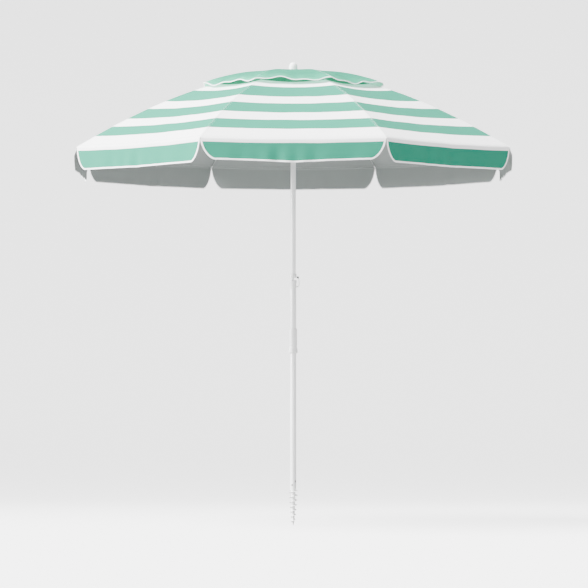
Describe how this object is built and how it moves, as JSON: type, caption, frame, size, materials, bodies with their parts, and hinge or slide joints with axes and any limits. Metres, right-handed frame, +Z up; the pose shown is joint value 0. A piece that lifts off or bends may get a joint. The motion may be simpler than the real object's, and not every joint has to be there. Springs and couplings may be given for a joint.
{
  "type": "beach umbrella",
  "caption": "Beach umbrella: striped octagonal canopy with a vent cap and scalloped valance on a telescopic pole with tilt joint, lock collar and sand auger.",
  "frame": {"origin": "tip of the sand auger, on the pole's axis", "axes": "+Z up along the pole, -Y towards the front panel, +X towards the tilt lever; the tilt pin runs along Y"},
  "size_m": [1.7564, 1.7564, 1.93],
  "materials": {
    "white_enamel": "glossy white powder coat on steel tube",
    "white_plastic": "moulded white plastic, slightly satin",
    "zinc_steel": "zinc plated steel",
    "rib_steel": "grey coated steel wire and strip",
    "dark_steel": "blackened steel",
    "mint_fabric": "mint and white striped woven polyester with a silver coated underside"
  },
  "bodies": {
    "lower": {"sand_auger": "white_plastic", "lower_pole": "white_enamel", "anchor_screw_front": "dark_steel", "anchor_screw_side": "dark_steel"},
    "lock_ring": {"lock_ring": "white_plastic"},
    "middle": {"middle_pole": "white_enamel", "inner_tube": "white_enamel", "lock_sleeve": "white_plastic", "tilt_lower_knuckle": "white_plastic", "tilt_pivot_pin": "zinc_steel"},
    "lever": {"tilt_lever": "dark_steel"},
    "upper": {"tilt_upper_knuckle": "white_plastic", "upper_pole": "white_enamel", "top_notch": "white_plastic", "notch_ring_wire": "zinc_steel", "top_washer": "white_plastic", "finial": "white_plastic"},
    "catch": {"runner_catch": "zinc_steel"},
    "rib_1": {"rib_1": "rib_steel"},
    "rib_2": {"rib_2": "rib_steel"},
    "rib_3": {"rib_3": "rib_steel"},
    "rib_4": {"rib_4": "rib_steel"},
    "rib_5": {"rib_5": "rib_steel"},
    "rib_6": {"rib_6": "rib_steel"},
    "rib_7": {"rib_7": "rib_steel"},
    "rib_8": {"rib_8": "rib_steel"},
    "stretcher_1": {"stretcher_1": "rib_steel"},
    "stretcher_2": {"stretcher_2": "rib_steel"},
    "stretcher_3": {"stretcher_3": "rib_steel"},
    "stretcher_4": {"stretcher_4": "rib_steel"},
    "stretcher_5": {"stretcher_5": "rib_steel"},
    "stretcher_6": {"stretcher_6": "rib_steel"},
    "stretcher_7": {"stretcher_7": "rib_steel"},
    "stretcher_8": {"stretcher_8": "rib_steel"},
    "runner": {"runner": "white_plastic", "runner_ring_wire": "zinc_steel"},
    "panel_1": {"canopy_gore_1": "mint_fabric", "vent_gore_1": "mint_fabric"},
    "panel_2": {"canopy_gore_2": "mint_fabric", "vent_gore_2": "mint_fabric"},
    "panel_3": {"canopy_gore_3": "mint_fabric", "vent_gore_3": "mint_fabric"},
    "panel_4": {"canopy_gore_4": "mint_fabric", "vent_gore_4": "mint_fabric"},
    "panel_5": {"canopy_gore_5": "mint_fabric", "vent_gore_5": "mint_fabric"},
    "panel_6": {"canopy_gore_6": "mint_fabric", "vent_gore_6": "mint_fabric"},
    "panel_7": {"canopy_gore_7": "mint_fabric", "vent_gore_7": "mint_fabric"},
    "panel_8": {"canopy_gore_8": "mint_fabric", "vent_gore_8": "mint_fabric"},
    "flap_1": {"canopy_flap_1": "mint_fabric"},
    "flap_2": {"canopy_flap_2": "mint_fabric"},
    "flap_3": {"canopy_flap_3": "mint_fabric"},
    "flap_4": {"canopy_flap_4": "mint_fabric"},
    "flap_5": {"canopy_flap_5": "mint_fabric"},
    "flap_6": {"canopy_flap_6": "mint_fabric"},
    "flap_7": {"canopy_flap_7": "mint_fabric"},
    "flap_8": {"canopy_flap_8": "mint_fabric"}
  },
  "joints": [
    {"name": "lock_ring_twist", "type": "hinge", "parent": "lower", "child": "lock_ring", "pos_m": [0, 0, 0.73], "axis": [0, 0, 1], "range_deg": [0, 90]},
    {"name": "height_slide", "type": "slide", "parent": "lower", "child": "middle", "axis": [0, 0, 1], "range_m": [0, 0.2]},
    {"name": "tilt_release", "type": "hinge", "parent": "middle", "child": "lever", "pos_m": [0.015, 0, 0.9935], "axis": [0, 1, 0], "range_deg": [0, 25], "stiffness_Nm_per_rad": 0.05, "springref_deg": -17.19},
    {"name": "canopy_tilt", "type": "hinge", "parent": "middle", "child": "upper", "pos_m": [-0.004, 0, 1.022], "axis": [0, -1, 0], "range_deg": [0, 30]},
    {"name": "catch_press", "type": "slide", "parent": "upper", "child": "catch", "axis": [0, 1, 0], "range_m": [0, 0.0035], "stiffness_N_per_m": 400, "springref_m": -0.002},
    {"name": "canopy_fold", "type": "hinge", "parent": "upper", "child": "rib_1", "pos_m": [0.01571, 0.00651, 1.872], "axis": [-0.3827, 0.9239, 0], "range_deg": [0, 66], "deforming": ["canopy_gore_1", "canopy_gore_2", "canopy_gore_3", "canopy_gore_4", "canopy_gore_5", "canopy_gore_6", "canopy_gore_7", "canopy_gore_8", "canopy_flap_1", "canopy_flap_2", "canopy_flap_3", "canopy_flap_4", "canopy_flap_5", "canopy_flap_6", "canopy_flap_7", "canopy_flap_8", "vent_gore_1", "vent_gore_2", "vent_gore_3", "vent_gore_4", "vent_gore_5", "vent_gore_6", "vent_gore_7", "vent_gore_8"]},
    {"name": "rib_2_fold", "type": "hinge", "parent": "upper", "child": "rib_2", "pos_m": [0.00651, 0.01571, 1.872], "axis": [-0.9239, 0.3827, 0], "range_deg": [0, 66]},
    {"name": "rib_3_fold", "type": "hinge", "parent": "upper", "child": "rib_3", "pos_m": [-0.00651, 0.01571, 1.872], "axis": [-0.9239, -0.3827, 0], "range_deg": [0, 66]},
    {"name": "rib_4_fold", "type": "hinge", "parent": "upper", "child": "rib_4", "pos_m": [-0.01571, 0.00651, 1.872], "axis": [-0.3827, -0.9239, 0], "range_deg": [0, 66]},
    {"name": "rib_5_fold", "type": "hinge", "parent": "upper", "child": "rib_5", "pos_m": [-0.01571, -0.00651, 1.872], "axis": [0.3827, -0.9239, 0], "range_deg": [0, 66]},
    {"name": "rib_6_fold", "type": "hinge", "parent": "upper", "child": "rib_6", "pos_m": [-0.00651, -0.01571, 1.872], "axis": [0.9239, -0.3827, 0], "range_deg": [0, 66]},
    {"name": "rib_7_fold", "type": "hinge", "parent": "upper", "child": "rib_7", "pos_m": [0.00651, -0.01571, 1.872], "axis": [0.9239, 0.3827, 0], "range_deg": [0, 66]},
    {"name": "rib_8_fold", "type": "hinge", "parent": "upper", "child": "rib_8", "pos_m": [0.01571, -0.00651, 1.872], "axis": [0.3827, 0.9239, 0], "range_deg": [0, 66]},
    {"name": "stretcher_1_turn", "type": "hinge", "parent": "rib_1", "child": "stretcher_1", "pos_m": [0.36142, 0.14971, 1.80586], "axis": [-0.3827, 0.9239, 0], "range_deg": [-132, 0]},
    {"name": "stretcher_2_turn", "type": "hinge", "parent": "rib_2", "child": "stretcher_2", "pos_m": [0.14971, 0.36142, 1.80586], "axis": [-0.9239, 0.3827, 0], "range_deg": [-132, 0]},
    {"name": "stretcher_3_turn", "type": "hinge", "parent": "rib_3", "child": "stretcher_3", "pos_m": [-0.14971, 0.36142, 1.80586], "axis": [-0.9239, -0.3827, 0], "range_deg": [-132, 0]},
    {"name": "stretcher_4_turn", "type": "hinge", "parent": "rib_4", "child": "stretcher_4", "pos_m": [-0.36142, 0.14971, 1.80586], "axis": [-0.3827, -0.9239, 0], "range_deg": [-132, 0]},
    {"name": "stretcher_5_turn", "type": "hinge", "parent": "rib_5", "child": "stretcher_5", "pos_m": [-0.36142, -0.14971, 1.80586], "axis": [0.3827, -0.9239, 0], "range_deg": [-132, 0]},
    {"name": "stretcher_6_turn", "type": "hinge", "parent": "rib_6", "child": "stretcher_6", "pos_m": [-0.14971, -0.36142, 1.80586], "axis": [0.9239, -0.3827, 0], "range_deg": [-132, 0]},
    {"name": "stretcher_7_turn", "type": "hinge", "parent": "rib_7", "child": "stretcher_7", "pos_m": [0.14971, -0.36142, 1.80586], "axis": [0.9239, 0.3827, 0], "range_deg": [-132, 0]},
    {"name": "stretcher_8_turn", "type": "hinge", "parent": "rib_8", "child": "stretcher_8", "pos_m": [0.36142, -0.14971, 1.80586], "axis": [0.3827, 0.9239, 0], "range_deg": [-132, 0]},
    {"name": "runner_travel", "type": "hinge", "parent": "stretcher_1", "child": "runner", "pos_m": [0.01571, 0.00651, 1.73972], "axis": [-0.3827, 0.9239, 0], "range_deg": [0, 66]},
    {"name": "panel_1_fold", "type": "hinge", "parent": "upper", "child": "panel_1", "pos_m": [0.00848, 0.00848, 1.887], "axis": [-0.7071, 0.7071, 0], "range_deg": [0, 62.9]},
    {"name": "panel_2_fold", "type": "hinge", "parent": "upper", "child": "panel_2", "pos_m": [0, 0.012, 1.887], "axis": [-1, 0, 0], "range_deg": [0, 62.9]},
    {"name": "panel_3_fold", "type": "hinge", "parent": "upper", "child": "panel_3", "pos_m": [-0.00848, 0.00848, 1.887], "axis": [-0.7071, -0.7071, 0], "range_deg": [0, 62.9]},
    {"name": "panel_4_fold", "type": "hinge", "parent": "upper", "child": "panel_4", "pos_m": [-0.012, 0, 1.887], "axis": [0, -1, 0], "range_deg": [0, 62.9]},
    {"name": "panel_5_fold", "type": "hinge", "parent": "upper", "child": "panel_5", "pos_m": [-0.00848, -0.00848, 1.887], "axis": [0.7071, -0.7071, 0], "range_deg": [0, 62.9]},
    {"name": "panel_6_fold", "type": "hinge", "parent": "upper", "child": "panel_6", "pos_m": [0, -0.012, 1.887], "axis": [1, 0, 0], "range_deg": [0, 62.9]},
    {"name": "panel_7_fold", "type": "hinge", "parent": "upper", "child": "panel_7", "pos_m": [0.00848, -0.00848, 1.887], "axis": [0.7071, 0.7071, 0], "range_deg": [0, 62.9]},
    {"name": "panel_8_fold", "type": "hinge", "parent": "upper", "child": "panel_8", "pos_m": [0.012, 0, 1.887], "axis": [0, 1, 0], "range_deg": [0, 62.9]},
    {"name": "flap_1_hang", "type": "hinge", "parent": "panel_1", "child": "flap_1", "pos_m": [0.62062, 0.62062, 1.54633], "axis": [-0.7071, 0.7071, 0], "range_deg": [-62.9, 0]},
    {"name": "flap_2_hang", "type": "hinge", "parent": "panel_2", "child": "flap_2", "pos_m": [0, 0.87769, 1.54633], "axis": [-1, 0, 0], "range_deg": [-62.9, 0]},
    {"name": "flap_3_hang", "type": "hinge", "parent": "panel_3", "child": "flap_3", "pos_m": [-0.62062, 0.62062, 1.54633], "axis": [-0.7071, -0.7071, 0], "range_deg": [-62.9, 0]},
    {"name": "flap_4_hang", "type": "hinge", "parent": "panel_4", "child": "flap_4", "pos_m": [-0.87769, 0, 1.54633], "axis": [0, -1, 0], "range_deg": [-62.9, 0]},
    {"name": "flap_5_hang", "type": "hinge", "parent": "panel_5", "child": "flap_5", "pos_m": [-0.62062, -0.62062, 1.54633], "axis": [0.7071, -0.7071, 0], "range_deg": [-62.9, 0]},
    {"name": "flap_6_hang", "type": "hinge", "parent": "panel_6", "child": "flap_6", "pos_m": [0, -0.87769, 1.54633], "axis": [1, 0, 0], "range_deg": [-62.9, 0]},
    {"name": "flap_7_hang", "type": "hinge", "parent": "panel_7", "child": "flap_7", "pos_m": [0.62062, -0.62062, 1.54633], "axis": [0.7071, 0.7071, 0], "range_deg": [-62.9, 0]},
    {"name": "flap_8_hang", "type": "hinge", "parent": "panel_8", "child": "flap_8", "pos_m": [0.87769, 0, 1.54633], "axis": [0, 1, 0], "range_deg": [-62.9, 0]}
  ],
  "couplings": [
    {"joint": "rib_2_fold", "follows": "canopy_fold", "ratio": 1},
    {"joint": "rib_3_fold", "follows": "canopy_fold", "ratio": 1},
    {"joint": "rib_4_fold", "follows": "canopy_fold", "ratio": 1},
    {"joint": "rib_5_fold", "follows": "canopy_fold", "ratio": 1},
    {"joint": "rib_6_fold", "follows": "canopy_fold", "ratio": 1},
    {"joint": "rib_7_fold", "follows": "canopy_fold", "ratio": 1},
    {"joint": "rib_8_fold", "follows": "canopy_fold", "ratio": 1},
    {"joint": "stretcher_1_turn", "follows": "canopy_fold", "ratio": -2},
    {"joint": "stretcher_2_turn", "follows": "canopy_fold", "ratio": -2},
    {"joint": "stretcher_3_turn", "follows": "canopy_fold", "ratio": -2},
    {"joint": "stretcher_4_turn", "follows": "canopy_fold", "ratio": -2},
    {"joint": "stretcher_5_turn", "follows": "canopy_fold", "ratio": -2},
    {"joint": "stretcher_6_turn", "follows": "canopy_fold", "ratio": -2},
    {"joint": "stretcher_7_turn", "follows": "canopy_fold", "ratio": -2},
    {"joint": "stretcher_8_turn", "follows": "canopy_fold", "ratio": -2},
    {"joint": "runner_travel", "follows": "canopy_fold", "ratio": 1},
    {"joint": "panel_1_fold", "follows": "canopy_fold", "ratio": 0.9515},
    {"joint": "panel_2_fold", "follows": "canopy_fold", "ratio": 0.9515},
    {"joint": "panel_3_fold", "follows": "canopy_fold", "ratio": 0.9515},
    {"joint": "panel_4_fold", "follows": "canopy_fold", "ratio": 0.9515},
    {"joint": "panel_5_fold", "follows": "canopy_fold", "ratio": 0.9515},
    {"joint": "panel_6_fold", "follows": "canopy_fold", "ratio": 0.9515},
    {"joint": "panel_7_fold", "follows": "canopy_fold", "ratio": 0.9515},
    {"joint": "panel_8_fold", "follows": "canopy_fold", "ratio": 0.9515},
    {"joint": "flap_1_hang", "follows": "canopy_fold", "ratio": -0.9515},
    {"joint": "flap_2_hang", "follows": "canopy_fold", "ratio": -0.9515},
    {"joint": "flap_3_hang", "follows": "canopy_fold", "ratio": -0.9515},
    {"joint": "flap_4_hang", "follows": "canopy_fold", "ratio": -0.9515},
    {"joint": "flap_5_hang", "follows": "canopy_fold", "ratio": -0.9515},
    {"joint": "flap_6_hang", "follows": "canopy_fold", "ratio": -0.9515},
    {"joint": "flap_7_hang", "follows": "canopy_fold", "ratio": -0.9515},
    {"joint": "flap_8_hang", "follows": "canopy_fold", "ratio": -0.9515}
  ]
}
